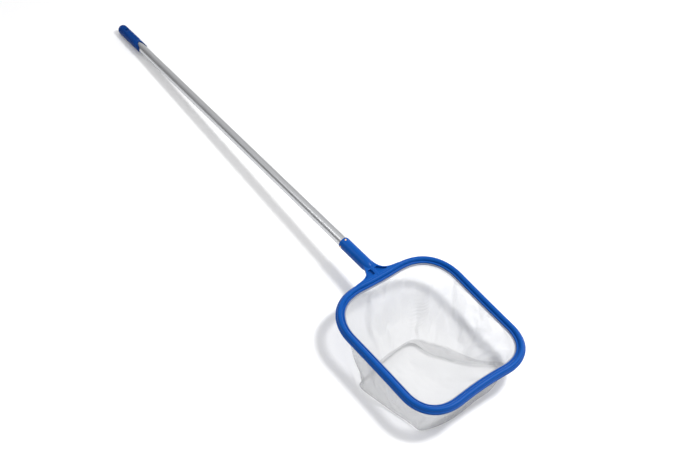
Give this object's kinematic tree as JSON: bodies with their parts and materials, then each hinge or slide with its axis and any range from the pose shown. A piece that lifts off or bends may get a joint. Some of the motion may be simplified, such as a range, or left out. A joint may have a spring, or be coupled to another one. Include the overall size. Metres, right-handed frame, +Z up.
{
  "type": "leaf skimmer net",
  "caption": "Hand leaf skimmer: rounded blue net frame with a socket on a straight aluminium tube, a hanging mesh bag and a grip cap with a hang hole.",
  "frame": {"origin": "under the middle of the whole tool, on the surface it lies on", "axes": "+X along the tool from the grip cap to the net, +Y across the net, +Z up"},
  "size_m": [1.638, 0.3348, 0.0932],
  "materials": {
    "tube": "satin drawn tube with fine lengthwise lines",
    "grip": "moulded blue plastic, satin",
    "frame": "moulded blue plastic, semi-gloss",
    "hem": "white woven tape",
    "mesh": "fine white see-through mesh",
    "rivet": "plain brass"
  },
  "bodies": {
    "root": {"pole_tube": "tube", "end_cap": "grip", "net_frame": "frame", "clamp_ring": "frame", "net_hem": "hem", "net_bag": "mesh", "rivet_top": "rivet", "rivet_bottom": "rivet", "rivet_left": "rivet", "rivet_right": "rivet"}
  },
  "joints": []
}
